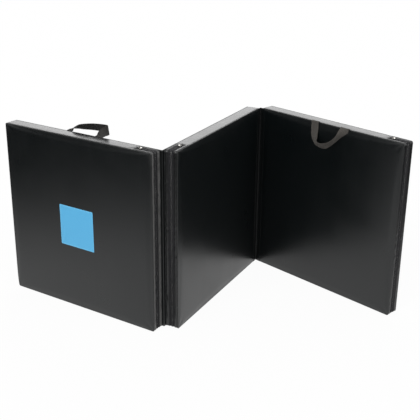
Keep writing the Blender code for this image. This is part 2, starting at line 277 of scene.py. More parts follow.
# (inset, how far from the seam) of the strip that is turned in there
SEAM_STEPS = ((0.0001, 0.0004), (SEAM_TUCK * 0.4, 0.0001), (SEAM_TUCK, 0.00005))
CROWN_RUN = 0.016  # how fast the face fills out from its edge
VINYL = 0.0006
GATHER_WIDTH = 0.045
GATHER = -0.025  # spare vinyl at the seam
FACE_PRESSURE = 0.25  # from the foam, on the vinyl
CLOTH_FRAMES = 20
CLOTH_RISE = 0.0005  # most that the vinyl may stand over its foam
CLOTH_DIP = 0.0006  # and most that it may sink
ZIP_REACH = 0.070  # how far the zip runs along the top and the bottom
ZIP_FADE = 0.005  # how far ahead of the zip its puckers start
DULL = 0.4  # how much rougher the handled vinyl is along the zip
DULL_FADE = 0.001  # over what depth a cover gets so, where it turns over its edge
EDGE_RUB = 0.012  # how far in from its edges a cover is rubbed


def skin_group():
    """Coated vinyl, as colour, roughness and height: rubbed edges, stretch lines and pressed grain. The rub input
    also carries painted light, as a lighter colour where a piece asks for it.
    """
    group = bpy.data.node_groups.new("vinyl_skin", "ShaderNodeTree")
    sockets = (
        ("Colour", "NodeSocketColor", (0.006, 0.006, 0.006, 1)),
        ("Rubbed Colour", "NodeSocketColor", (0.02, 0.02, 0.02, 1)),
        ("Rub", "NodeSocketFloat", 0.0),
        ("Dull", "NodeSocketFloat", 0.0),
        ("Roughness", "NodeSocketFloat", 0.35),
        ("Lines", "NodeSocketFloat", 0.5),
        ("Grain Scale", "NodeSocketFloat", 900.0),
        ("Grain", "NodeSocketFloat", 0.5),
    )
    for name, kind, value in sockets:
        group.interface.new_socket(name, in_out="INPUT", socket_type=kind).default_value = value
    for name, kind in (("Colour", "Color"), ("Roughness", "Float"), ("Height", "Float")):
        group.interface.new_socket(name, in_out="OUTPUT", socket_type="NodeSocket" + kind)
    maths = maths_in(group)
    given = node(group, "NodeGroupInput").outputs
    place = node(group, "ShaderNodeTexCoord").outputs["Object"]
    upright = node(group, "ShaderNodeMapping", {"Vector": place, "Scale": (150, 150, 0.3)})
    drawn = {"Vector": upright.outputs[0], "Scale": 1.0, "Detail": 3.0}
    streaks = node(group, "ShaderNodeTexNoise", drawn)
    clouds = node(group, "ShaderNodeTexNoise", {"Vector": place, "Scale": 9.0, "Detail": 4.0})
    pressed = {"Vector": place, "Scale": given["Grain Scale"]}
    grain = node(group, "ShaderNodeTexVoronoi", pressed, feature="SMOOTH_F1")
    dust = node(group, "ShaderNodeTexNoise", {"Vector": place, "Scale": 60.0, "Detail": 5.0})
    lines = maths("MULTIPLY", maths("SUBTRACT", streaks.outputs["Fac"], 0.5), given["Lines"])
    # the rub input mixes in the rubbed colour, for real rubbing and, on the left band's end face, for painted
    # light
    wear_and_painted_light = maths("MULTIPLY", given["Rub"], dust.outputs["Fac"])
    colour = node(group, "ShaderNodeMix", data_type="RGBA")
    group.links.new(wear_and_painted_light, colour.inputs["Factor"])
    group.links.new(given["Colour"], colour.inputs["A"])
    group.links.new(given["Rubbed Colour"], colour.inputs["B"])
    cloudy = maths("MULTIPLY", maths("SUBTRACT", clouds.outputs["Fac"], 0.5), 0.14)
    rough = maths("ADD", maths("ADD", given["Roughness"], cloudy), maths("MULTIPLY", lines, 0.12))
    rough = maths("ADD", maths("ADD", rough, maths("MULTIPLY", wear_and_painted_light, 0.25)), given["Dull"])
    height = maths("ADD", lines, maths("MULTIPLY", grain.outputs["Distance"], given["Grain"]))
    out = node(group, "NodeGroupOutput")
    group.links.new(colour.outputs["Result"], out.inputs["Colour"])
    group.links.new(rough, out.inputs["Roughness"])
    group.links.new(height, out.inputs["Height"])
    return group


SKIN = skin_group()
VINYL_SHINE = 0.56
VINYL_RELIEF = 0.00035


def vinyl_finish(name, colour, roughness, lines, grain, rubbed, shine=VINYL_SHINE, relief=VINYL_RELIEF):
    """Vinyl that is rubbed and dulled where the piece's own attributes say so; the rub attribute also carries
    painted light, as a lighter colour.
    """
    made, tree, shader = new_finish(name, Specular_IOR_Level=shine)
    skin = node(tree, "ShaderNodeGroup", node_tree=SKIN)
    skin.inputs["Colour"].default_value = (*colour, 1)
    skin.inputs["Rubbed Colour"].default_value = (*rubbed, 1)
    skin.inputs["Roughness"].default_value = roughness
    skin.inputs["Lines"].default_value = lines
    skin.inputs["Grain"].default_value = grain
    for name in ("rub", "dull"):
        strength = node(tree, "ShaderNodeAttribute", attribute_name=name).outputs["Fac"]
        tree.links.new(strength, skin.inputs[name.capitalize()])
    tree.links.new(skin.outputs["Colour"], shader.inputs["Base Color"])
    tree.links.new(skin.outputs["Roughness"], shader.inputs["Roughness"])
    bump(tree, shader, skin.outputs["Height"], relief, 0.5)
    return made


COVER = vinyl_finish("cover_vinyl", (0.0008, 0.0020, 0.0024), 0.31, 0.65, 0.35, (0.010, 0.011, 0.011))


def rounded(x, z, radius, half):
    """Draws the corners of a square grid in to a quarter circle."""
    inner = half - radius
    over_x, over_z = np.maximum(np.abs(x) - inner, 0), np.maximum(np.abs(z) - inner, 0)
    span = np.hypot(over_x, over_z)
    share = np.where(span > 0, np.maximum(over_x, over_z) / np.maximum(span, 1e-9), 1)
    new_x = np.where(over_x > 0, np.sign(x) * (inner + over_x * share), x)
    new_z = np.where(over_z > 0, np.sign(z) * (inner + over_z * share), z)
    corner = (over_x > 0) & (over_z > 0)
    return np.where(corner, new_x, x), np.where(corner, new_z, z)


def edge_distance(x, z):
    """From a point of the face to the panel's outline, in metres, rounded in the corners."""
    a, b = HALF - np.abs(x), HALF - np.abs(z)
    soft = 0.010
    return -soft * np.log(np.exp(-a / soft) + np.exp(-b / soft))


def face_height(distance):
    """From the panel's middle to its face, at a distance in from the edge."""
    return EDGE_FACE + CROWN * (1 - np.exp(-np.maximum(distance - EDGE_ROUND, 0) / CROWN_RUN))


def settle_cloth(obj, facing):
    """Lets the vinyl find its shape under the gathered seam, then holds it near its foam."""
    start = coordinates(obj)
    cloth = obj.modifiers.new("cloth", "CLOTH")
    settings = cloth.settings
    settings.quality = 6
    settings.mass = 0.25
    settings.tension_stiffness = 25
    settings.compression_stiffness = 25
    settings.shear_stiffness = 15
    settings.bending_stiffness = 1.2
    settings.vertex_group_mass = "seam"
    settings.vertex_group_shrink = "gather"
    settings.shrink_min = 0.0
    settings.shrink_max = GATHER
    settings.use_pressure = True
    settings.uniform_pressure_force = FACE_PRESSURE
    settings.effector_weights.gravity = 0
    cloth.point_cache.frame_end = CLOTH_FRAMES
    for step in range(1, CLOTH_FRAMES + 1):
        bpy.context.scene.frame_set(step)
    apply_all(obj)
    bpy.context.scene.frame_set(1)
    moved = coordinates(obj) - start
    out = moved[:, 1] * facing
    most = np.where(out > 0, CLOTH_RISE, CLOTH_DIP)
    moved[:, 1] = most * np.tanh(out / most) * facing
    for axis in (0, 2):
        moved[:, axis] = CLOTH_RISE * np.tanh(moved[:, axis] / CLOTH_RISE)
    set_coordinates(obj, start + moved)


def weights(obj, name, values):
    group = obj.vertex_groups.new(name=name)
    for index in np.nonzero(values > 0.001)[0]:
        group.add([int(index)], float(values[index]), "REPLACE")


def outward(points):
    """The direction straight out of the panel's outline at each point."""
    inner = HALF - CORNER
    flat = points - np.array([0, 0, HALF])
    out = flat - np.clip(flat, -inner, inner)
    out[:, 1] = 0
    return out / np.maximum(np.linalg.norm(out, axis=1), 1e-9)[:, None]


def beside_zip(points):
    """One along the zip and nought elsewhere."""
    return np.clip(1 + (points[:, 0] - (HALF - ZIP_REACH)) / ZIP_FADE, 0, 1)


def store(obj, name, values):
    attribute = obj.data.attributes.get(name) or obj.data.attributes.new(name, "FLOAT", "POINT")
    attribute.data.foreach_set("value", np.asarray(values, np.float32))


def open_cover(facing):
    """A flat sheet that turns over the panel's edge, with the seam's turned-in strip round it."""
    begin()
    turned = (-facing * math.pi / 2, 0, 0)
    bpy.ops.mesh.primitive_grid_add(x_subdivisions=GRID, y_subdivisions=GRID, size=2, rotation=turned)
    bpy.ops.object.transform_apply(rotation=True)
    cover = bpy.context.object
    points = coordinates(cover)
    flat = HALF - EDGE_ROUND
    graded = [flat * ((1 + GRADING) * points[:, k] - GRADING * points[:, k] ** 3) for k in (0, 2)]
    x, z = rounded(*graded, CORNER - EDGE_ROUND, flat)
    set_coordinates(cover, np.stack([x, facing * face_height(edge_distance(x, z)), z + HALF], 1))
    edit()
    choose("edges", lambda e: e.is_boundary)
    steps = []
    for k in range(1, EDGE_TURNS + 1):
        angle = math.pi / 2 * k / EDGE_TURNS
        steps.append((EDGE_ROUND * (1 - math.sin(angle)), EDGE_FACE - EDGE_ROUND * (1 - math.cos(angle))))
    seam = EDGE_FACE - RIM
    steps += [(inset, seam + over) for inset, over in SEAM_STEPS]
    before = (EDGE_ROUND, EDGE_FACE)
    for inset, out in steps:
        bpy.ops.mesh.extrude_region_move(TRANSFORM_OT_translate={"value": (0, facing * (out - before[1]), 0)})
        scale = (HALF - inset) / (HALF - before[0])
        bpy.ops.transform.resize(value=(scale, 1, scale), center_override=(0, 0, HALF))
        before = (inset, out)
    bpy.ops.object.mode_set(mode="OBJECT")
    return cover


def face_cover(side, face):
    facing = FRONT[side] * (1 if face == "front" else -1)
    cover = open_cover(facing)
    points = coordinates(cover)
    deep = EDGE_FACE - facing * points[:, 1]
    distance = edge_distance(points[:, 0], points[:, 2] - HALF)
    weights(cover, "seam", (deep > EDGE_ROUND * 0.6).astype(float))
    weights(cover, "gather", np.clip(1 - distance / GATHER_WIDTH, 0, 1))
    settle_cloth(cover, facing)
    subdivide_smoothly(cover)
    points = coordinates(cover)
    distance = edge_distance(points[:, 0], points[:, 2] - HALF)
    turned_over = np.clip((EDGE_FACE - EDGE_ROUND * 0.5 - np.abs(points[:, 1])) / DULL_FADE, 0, 1)
    handled = beside_zip(points) * np.clip(outward(points)[:, 2], 0, 1) * turned_over
    store(cover, "rub", np.clip(1 - distance / EDGE_RUB, 0, 1) ** 2)
    store(cover, "dull", DULL * handled)
    draw_corner_in(side, cover)
    give_wall(cover, VINYL)
    cover.vertex_groups.clear()
    settle(cover, f"{side}_{face}_cover", side + "_panel", COVER, PLACES[side])
    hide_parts(f"{side}_{face}_sheet")
    return cover


covers = {(side, face): face_cover(side, face) for side in SIDES for face in ("front", "back")}

# Boxing: the band of the same vinyl that goes once round each panel between its two faces. The zip opens
# it along one end, where its edges are folded under as two hems and rolled up beside the opening.
SEAM_GAP = 0.00035  # between the band's edge and the cover's, in the seam
BAND_HALF = EDGE_FACE - RIM - SEAM_GAP
BAND_CUTS = 96
BAND_CELL = 0.004  # edges across the band that are longer are cut once more
SAME_PLACE = 0.0001
ZIP_HALF = 0.011  # half the width of its opening
HEM = ((0.0005, 1.00), (0.0003, 0.95), (-0.0004, 0.88), (-0.0012, 0.85), (-0.0008, 0.90))  # (rise, width)
ZIP_SINK = 0.0013  # how far the band slopes in from its seams to the zip
SITS_FLAT = 0.02  # up to this height the panel's weight keeps the band flat
CREASE = 0.0012  # how deep the band is drawn in where the zip starts
LIP = (0.0036, 0.0028, 0.0011)  # the rolled edge beside the zip: how far from its opening, width and rise
LIP_BACK = 0.35  # share of the roll on the back side
LIP_CALM = 0.6  # share of the puckers that it has lost
LIP_SHINE = 1.6  # how strongly it keeps its gloss
BAND_FULL = 0.0005  # how far the band stands out between its seams
PUCKER = 0.0009
PUCKER_WAVES = (60, 90)  # how close the puckers are along the band and across it
PUCKER_FOLDS = (150, 40)  # and the finer ones beside the zip
FAR_SHARE = 0.3  # of the puckers, away from the zip
FOLD_SHARE = 0.4
BAND_RUB = 0.1
END_PAINTED_LIGHT = {"left": 1.8}  # painted light: how much lighter the zipped end face of a panel is made, as if a lamp lit it from its side
# its rubbed colour is also the painted light that lightens the left panel's zipped end face
BOXING = vinyl_finish("boxing_vinyl", (0.0020, 0.0026, 0.0030), 0.28, 0.25, 0.40, (0.075, 0.074, 0.073))


def lip(points, side):
    """One along the rolled edge on the front side of the zip's opening, less on the back side."""
    rolled = np.exp(-(((np.abs(points[:, 1]) - ZIP_HALF - LIP[0]) / LIP[1]) ** 4)) * beside_zip(points)
    return rolled * np.where(points[:, 1] * FRONT[side] > 0, 1.0, LIP_BACK)


def shape_band(points, side):
    """Gives points on the flat band its fullness, its puckers and its slope to the zip."""
    ahead = (points[:, 0] - (HALF - ZIP_REACH)) / ZIP_FADE
    at_zip = np.clip((points[:, 0] - (HALF - 2 * ZIP_REACH)) / ZIP_REACH, 0, 1)
    across = np.clip(1 - (points[:, 1] / BAND_HALF) ** 2, 0, 1)
    slope = np.clip((BAND_HALF - np.abs(points[:, 1])) / (BAND_HALF - ZIP_HALF), 0, 1)
    shift = 7 * SIDES.index(side)
    waves, folds = (
        np.array([noise.noise(Vector((x * along, y * over + shift, z * along))) for x, y, z in points])
        for along, over in (PUCKER_WAVES, PUCKER_FOLDS)
    )
    push = PUCKER * (waves * (FAR_SHARE + at_zip) + folds * FOLD_SHARE * beside_zip(points))
    push *= 1 - LIP_CALM * lip(points, side)
    push += BAND_FULL * across * (1 - beside_zip(points))
    push -= ZIP_SINK * slope * beside_zip(points) + CREASE * np.exp(-(ahead**2)) * slope
    push += LIP[2] * lip(points, side)
    return points + outward(points) * (push * np.clip(points[:, 2] / SITS_FLAT, 0, 1))[:, None]


def across_band(edge):
    return [abs(vert.co.y) for vert in edge.verts]


def in_opening(face):
    middle = face.calc_center_median()
    return abs(middle.y) < ZIP_HALF and middle.x > HALF - ZIP_REACH


def open_band():
    """The band round a panel with the zip's opening cut out of it, its seams and hems turned in."""
    band = block(PANEL, 2 * BAND_HALF, PANEL, (0, 0, HALF))
    edit()
    choose("faces", lambda f: abs(f.normal.y) > 0.9)
    bpy.ops.mesh.delete(type="ONLY_FACE")
    choose("edges", lambda e: runs_along(e, 1))
    bpy.ops.mesh.bevel(offset=CORNER, segments=6)
    choose("edges", lambda e: e.calc_length() > PANEL / 2)
    bpy.ops.mesh.subdivide(number_cuts=BAND_CUTS)
    cuts = (
        ((0, ZIP_HALF, 0), (0, 1, 0)),
        ((0, -ZIP_HALF, 0), (0, 1, 0)),
        ((HALF - ZIP_REACH, 0, 0), (1, 0, 0)),
    )
    for place, normal in cuts:
        bpy.ops.mesh.select_all(action="SELECT")
        bpy.ops.mesh.bisect(plane_co=place, plane_no=normal)
    choose("faces", in_opening)
    bpy.ops.mesh.delete(type="FACE")
    choose("edges", lambda e: runs_along(e, 1) and e.calc_length() > BAND_CELL)
    bpy.ops.mesh.subdivide(number_cuts=3)
    choose("edges", lambda e: e.is_boundary and min(across_band(e)) > BAND_HALF - SAME_PLACE)
    bpy.ops.mesh.extrude_region_move()
    scale = (PANEL - 2 * SEAM_TUCK) / PANEL
    bpy.ops.transform.resize(value=(scale, 1, scale), center_override=(0, 0, HALF))
    choose("edges", lambda e: e.is_boundary and max(across_band(e)) < ZIP_HALF + SAME_PLACE)
    width = 1.0
    for rise, share in HEM:
        bpy.ops.mesh.extrude_region_move()
        bpy.ops.transform.shrink_fatten(value=rise)
        bpy.ops.transform.resize(value=(1, share / width, 1), center_override=(0, 0, 0))
        width = share
    bpy.ops.object.mode_set(mode="OBJECT")
    subdivide_smoothly(band)
    return band


def boxing_band(side):
    band = open_band()
    points = coordinates(band)
    smooth_lip = np.clip(LIP_SHINE * lip(points, side), 0, 1)
    out = outward(points)
    store(band, "dull", DULL * beside_zip(points) * np.clip(out[:, 2], 0, 1) * (1 - smooth_lip))
    # the end term is painted light: it lightens the left panel's zipped end face as if lit from its side; the rest
    # is rubbing
    store(band, "rub", BAND_RUB + END_PAINTED_LIGHT.get(side, 0) * np.clip(out[:, 0], 0, 1))
    set_coordinates(band, shape_band(points, side))
    draw_corner_in(side, band)
    give_wall(band, VINYL)
    points = coordinates(band)
    points[:, 2] = np.maximum(points[:, 2], 0)  # nothing of it is under the floor
    set_coordinates(band, points)
    settle(band, side + "_boxing_band", side + "_panel", BOXING, PLACES[side])
    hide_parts(side + "_boxing")


for side in SIDES:
    boxing_band(side)

# Zips: a nylon coil on two woven tapes closes the opening round the end of each cover. The tapes are
# sewn under the hems, and the coil's turns lock in the middle, below the cast slider and its pull.
COIL_DEPTH = 0.0012  # of the coil's middle below the panel's outline
COIL_PITCH = 0.0016
COIL_SIZE = (0.0011, 0.0030, 0.0014)
COIL_APART = 0.36  # of a turn's width, from the zip's middle to the middle of each row
COIL_START = 0.002  # from the opening's end
STITCH_SIZE = (0.0026, 0.0006, 0.0005)
STITCH_PITCH = 0.0036
STITCH_LIFT = 0.0004  # of a stitch's middle over the panel's outline
STITCH_ASIDE = 0.0012  # from the zip's opening to the stitches
CORNER_POINTS = 8


def nylon_finish():
    made, tree, shader = new_finish("zip_nylon", Roughness=0.50, Specular_IOR_Level=0.35)
    place = node(tree, "ShaderNodeTexCoord").outputs["Object"]
    wear = node(tree, "ShaderNodeTexNoise", {"Vector": place, "Scale": 240.0, "Detail": 3.0})
    shade = node(tree, "ShaderNodeValToRGB", {"Fac": wear.outputs["Fac"]})
    shade.color_ramp.elements[0].color = (0.008, 0.008, 0.009, 1)
    shade.color_ramp.elements[1].color = (0.030, 0.030, 0.032, 1)
    tree.links.new(shade.outputs["Color"], shader.inputs["Base Color"])
    bump(tree, shader, wear.outputs["Fac"], 0.0001, 0.4)
    return made


def woven_finish(name, dark, light, pitch, roughness, sheen):
    """A plain weave on Object coordinates, for pieces that lie along the panels."""
    made, tree, shader = new_finish(name, Roughness=roughness, Sheen_Weight=sheen, Specular_IOR_Level=0.3)
    place = node(tree, "ShaderNodeTexCoord").outputs["Object"]
    threads = node(tree, "ShaderNodeTexVoronoi", {"Vector": place, "Scale": 1 / pitch, "Randomness": 0.25})
    fuzz = node(tree, "ShaderNodeTexNoise", {"Vector": place, "Scale": 2 / pitch, "Detail": 2.0})
    shade = node(tree, "ShaderNodeMix", {"Factor": threads.outputs["Distance"]}, data_type="RGBA")
    shade.inputs["A"].default_value = (*light, 1)
    shade.inputs["B"].default_value = (*dark, 1)
    tree.links.new(shade.outputs["Result"], shader.inputs["Base Color"])
    height = maths_in(tree)("SUBTRACT", threads.outputs["Distance"], fuzz.outputs["Fac"])
    bump(tree, shader, height, pitch * 0.4, 0.7)
    return made


def metal_finish(name, colour, roughness, wear_and_painted_light):
    made, tree, shader = new_finish(name, Metallic=1.0)
    place = node(tree, "ShaderNodeTexCoord").outputs["Object"]
    brushed = node(tree, "ShaderNodeMapping", {"Vector": place, "Scale": (900, 900, 2500)})
    scratch = node(tree, "ShaderNodeTexNoise", {"Vector": brushed.outputs[0], "Scale": 1.0, "Detail": 4.0})
    spread = {0: scratch.outputs["Fac"], 3: roughness - 0.07, 4: roughness + 0.12}
    rough = node(tree, "ShaderNodeMapRange", spread)
    shade = node(tree, "ShaderNodeMix", {"Factor": scratch.outputs["Fac"]}, data_type="RGBA")
    shade.inputs["A"].default_value = (*colour, 1)
    shade.inputs["B"].default_value = (*wear_and_painted_light, 1)
    tree.links.new(shade.outputs["Result"], shader.inputs["Base Color"])
    tree.links.new(rough.outputs[0], shader.inputs["Roughness"])
    bump(tree, shader, scratch.outputs["Fac"], 0.00004, 0.5)
    return made


NYLON = nylon_finish()
TAPE = woven_finish("zip_tape", (0.004, 0.004, 0.005), (0.022, 0.022, 0.024), 0.0008, 0.95, 0.0)
THREAD = woven_finish("sewing_thread", (0.010, 0.010, 0.010), (0.045, 0.045, 0.045), 0.0004, 0.6, 0.2)
NICKEL = metal_finish("slider_nickel", (0.78, 0.76, 0.72), 0.22, (0.62, 0.60, 0.56))
PULL = metal_finish("pull_enamel", (0.05, 0.05, 0.05), 0.35, (0.02, 0.02, 0.02))


def outline_curve(start, depth):
    """A flat curve from the top of the panel down its zipped end to the bottom, X along and Y up."""
    radius = CORNER - depth
    middle = HALF - CORNER
    points = [(start, PANEL - depth)]
    for centre, begin_at in ((PANEL - CORNER, 90), (CORNER, 0)):
        for k in range(CORNER_POINTS + 1):
            angle = math.radians(begin_at - 90 * k / CORNER_POINTS)
            points.append((middle + radius * math.cos(angle), centre + radius * math.sin(angle)))
    points.append((start, depth))
    curve = bpy.data.curves.new("run", "CURVE")
    curve.dimensions = "2D"
    spline = curve.splines.new("POLY")
    spline.points.add(len(points) - 1)
    for spot, (x, y) in zip(spline.points, points):
        spot.co = (x, y, 0, 1)
    run = bpy.data.objects.new("run", curve)
    bpy.context.scene.collection.objects.link(run)
    return run


def along_curve(piece, run, pitch):
    """Repeats the piece along the curve, at its pitch, and bends the row to it."""
    row = piece.modifiers.new("row", "ARRAY")
    row.fit_type = "FIT_CURVE"
    row.curve = run
    row.use_relative_offset = False
    row.use_constant_offset = True
    row.constant_offset_displace = (pitch, 0, 0)
    bend = piece.modifiers.new("bend", "CURVE")
    bend.object = run
    apply_all(piece)
    data = run.data
    bpy.data.objects.remove(run)
    bpy.data.curves.remove(data)


UPRIGHT = Matrix.Rotation(math.pi / 2, 4, "X")  # from the flat plane of the curves to the panel's own axes


def zip_coil(side):
    """Two rows of coil turns that meet in the middle, each turn a rounded bar laid across."""
    length, width, height = COIL_SIZE
    bars = []
    for row, shift in ((-1, 0), (1, COIL_PITCH / 2)):
        begin()
        place = (shift, 0, row * width * COIL_APART)
        bpy.ops.mesh.primitive_cylinder_add(vertices=6, radius=0.5, depth=1, location=place)
        bpy.ops.transform.resize(value=(length, height, width))
        bpy.ops.object.transform_apply(location=True, scale=True)
        bars.append(bpy.context.object)
        edit()
        choose("edges", lambda e: abs(e.verts[0].co.z - e.verts[1].co.z) < 1e-6)
        bpy.ops.mesh.bevel(offset=length * 0.25, segments=1)
        bpy.ops.object.mode_set(mode="OBJECT")
    for bar in bars:
        bar.select_set(True)
    bpy.ops.object.join()
    coil = bpy.context.object
    along_curve(coil, outline_curve(HALF - ZIP_REACH + COIL_START, COIL_DEPTH), COIL_PITCH)
    coil.data.transform(UPRIGHT)
    settle(coil, side + "_zip_coil", side + "_panel", NYLON, PLACES[side], 60)
    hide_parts(side + "_zip_chain")


def stitch_row(side, name, across):
    """One row of lockstitch along a hem of the zip, each stitch a short thread sunk in at its ends."""
    length, width, height = STITCH_SIZE
    stitch = block(length, height, width)
    edit()
    choose("edges", lambda e: runs_along(e, 0))
    bpy.ops.mesh.bevel(offset=width * 0.28, segments=1)
    choose("faces", lambda f: abs(f.normal.x) > 0.9)
    bpy.ops.transform.resize(value=(1, 0.5, 0.5), center_override=(0, -height / 2, 0))
    bpy.ops.object.mode_set(mode="OBJECT")
    stitch.data.transform(Matrix.Translation((0, 0, across)))
    along_curve(stitch, outline_curve(HALF - ZIP_REACH, -STITCH_LIFT), STITCH_PITCH)
    stitch.data.transform(UPRIGHT)
    set_coordinates(stitch, shape_band(coordinates(stitch), side))
    settle(stitch, name, side + "_panel", THREAD, PLACES[side], 60)


for side in SIDES:
    zip_coil(side)
    stitch_row(side, side + "_zip_stitches_near", ZIP_HALF + STITCH_ASIDE)
    stitch_row(side, side + "_zip_stitches_far", -ZIP_HALF - STITCH_ASIDE)
    for tape in ("front", "back"):
        frame["nodes"][f"{side}_zip_tape_{tape}"].data.materials[0] = TAPE
    frame["nodes"][side + "_zip_slider"].data.materials[0] = NICKEL
    frame["nodes"][side + "_zip_pull"].data.materials[0] = PULL

# Hinges: a strip of vinyl sewn to the faces of two panels lets them fold, the left one behind the
# middle panel and the right one in front of it. It lies flat on both faces and turns in between them.
FOLD_OUT = 0.028  # from a panel's middle to the fold's axis, through its thickness
FOLD_END = 0.002  # from a panel's end to the fold's axis
STRIP_POINTS = (0.016, 0.010, 0.0055, 0.0030)  # from the fold's axis, along each panel
STRIP_WALL = 0.0008
STRIP_SUNK = 0.0002  # how far it is pressed into the covers
STRIP_TURN = 0.85  # how far into the corner between the faces it reaches
STRIP_INSET = 0.001
STRIP_ROWS = 84
STRIP_STEPS = 3
STRIP_PUCKER = 0.0003
STRIP_WAVES = (0.35, 45)  # how close the puckers are across the strip and up it
RUBBED_TO = (0.002, 0.006)  # from the fold's axis, where the strip is most rubbed and where least
STRIP_RUB = (0.8, 0.1)
HINGE = vinyl_finish("hinge_vinyl", (0.0008, 0.0018, 0.0021), 0.36, 0.50, 0.35, (0.003, 0.003, 0.003))


def catmull_rom(points, steps):
    """Points on a smooth curve through the given ones, as an array."""
    route = np.array(points, float)
    route = np.vstack([2 * route[0] - route[1], route, 2 * route[-1] - route[-2]])
    found = []
    for i in range(1, len(route) - 2):
        a, b, c, d = route[i - 1 : i + 3]
        for t in np.arange(steps) / steps:
            bend = (2 * a - 5 * b + 4 * c - d) * t**2 + (3 * b - a - 3 * c + d) * t**3
            found.append(0.5 * (2 * b + (c - a) * t + bend))
    return np.array([*found, route[-2]])


def hinge_strip(joint_name, panel, end):
    """The strip between the middle panel and another, at the panels' ends given by end."""
    axis = Vector(joints[joint_name]["pos_m"])
    sides = {}
    for side in ("middle", panel):
        turn = PLACES[side].to_3x3()
        through = turn @ Vector((0, 1, 0))
        towards = PLACES[side].translation - axis
        sides[side] = (-end * (turn @ Vector((1, 0, 0))), through * math.copysign(1, towards.dot(through)))
    bisector = (sides["middle"][0] + sides[panel][0]).normalized()
    half_angle = sides["middle"][0].angle(sides[panel][0]) / 2

    def depth(along):
        """From the fold's axis to the middle of the strip's wall, towards the panel."""
        return FOLD_OUT - float(face_height(along - FOLD_END)) - STRIP_WALL / 2 + STRIP_SUNK

    def flap(away, through):
        return [axis + away * along + through * depth(along) for along in STRIP_POINTS]

    flaps = [flap(*sides[side]) for side in sides]
    corner = axis - bisector * (STRIP_TURN * depth(0) / math.sin(half_angle))
    plan = catmull_rom([*flaps[0], corner, *reversed(flaps[1])], STRIP_STEPS)
    begin()
    bpy.ops.mesh.primitive_grid_add(x_subdivisions=len(plan) - 1, y_subdivisions=STRIP_ROWS, size=1)
    strip = bpy.context.object
    points = coordinates(strip)
    columns = np.round((points[:, 0] + 0.5) * (len(plan) - 1)).astype(int)
    placed = plan[columns]
    placed[:, 2] = STRIP_INSET + (points[:, 1] + 0.5) * (PANEL - 2 * STRIP_INSET)
    slack = np.exp(-(((columns - len(plan) / 2) / STRIP_STEPS) ** 2))
    over, up = STRIP_WAVES
    spots = zip(columns, placed[:, 2])
    ripple = np.array([noise.noise(Vector((column * over, z * up, 3.0))) for column, z in spots])
    placed += np.outer(ripple * slack * STRIP_PUCKER, np.array(bisector))
    set_coordinates(strip, placed)
    give_wall(strip, STRIP_WALL, 0)
    soften_edges(strip, STRIP_WALL * 0.35, 2, 50)
    reach = np.hypot(*(coordinates(strip)[:, :2] - np.array(axis)[:2]).T)
    store(strip, "rub", np.interp(reach, RUBBED_TO, STRIP_RUB))
    settle(strip, panel + "_hinge_strip", None, HINGE)
    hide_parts(panel + "_hinge_welt", panel + "_hinge_flap")
    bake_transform(strip)


hinge_strip("left_fold", "left", 1)
hinge_strip("right_fold", "right", -1)

# Handles: two loops of 30 mm polypropylene webbing, each end caught in the seam at the panel's top
# edge. The left loop stands out level behind its panel, and the right one hangs down the front.
WEB_WIDTH = 0.030
WEB_THICK = 0.0015
WEB_STEPS = 8
WEB_CELLS = 10
PIVOT_OUT = 0.0262  # from the panel's middle
PIVOT_HIGH = 0.6018
RIB = 0.0030  # width of a rib of the weave
PICK = 0.0021  # from one weft thread to the next
# (out from the panel's middle, up), from inside the seam over the panel's edge to the swing's axis
FOOT_PATH = (
    (0.0203, 0.5984),
    (0.0199, 0.6001),
    (0.0205, 0.6011),
    (0.0222, 0.6015),
    (0.0242, 0.6017),
    (0.0262, 0.6018),
)
# along each loop, the share of the webbing's width that is left where it is gathered, and its painted light and
# shade: lighter where the loop would be lit, darker where it would be in shade
WIDTHS = {"left": (1, 1, 1, 1, 1, 1, 1, 0.95, 0.85, 0.75, 0.7), "right": (1, 1)}
LOOP_PAINTED_LIGHT = {"left": (0.20, 0.24, 0.12, 0.05, 0.03, 0.03, 0.03, 0.03, 0.03), "right": (0.9, 0.95, 1.0, 0.95, 0.9)}
# (along the seam, away from it, out of the loop's plane, twist in degrees)
LEFT_LOOP = (
    (0.0651, 0.0000, 0.0000, 0),
    (0.0674, 0.0111, 0.0081, -34),
    (0.0746, 0.0238, 0.0141, -73),
    (0.0713, 0.0330, 0.0143, -83),
    (0.0498, 0.0351, 0.0156, -68),
    (0.0072, 0.0349, 0.0131, -58),
    (-0.0283, 0.0237, 0.0104, -47),
    (-0.0461, 0.0165, 0.0064, -28),
    (-0.0531, 0.0116, 0.0054, -23),
    (-0.0563, 0.0060, 0.0040, -19),
    (-0.0572, 0.0000, 0.0000, 0),
)
RIGHT_LOOP = (
    (-0.054, 0.000, 0.0000, 0),
    (-0.053, 0.025, 0.0012, 0),
    (-0.051, 0.048, 0.0040, -8),
    (-0.043, 0.067, 0.0070, -24),
    (-0.026, 0.075, 0.0110, -40),
    (-0.003, 0.074, 0.0135, -46),
    (0.027, 0.057, 0.0140, -72),
    (0.053, 0.033, 0.0120, -77),
    (0.068, 0.012, 0.0055, -38),
    (0.072, 0.000, 0.0000, 0),
)


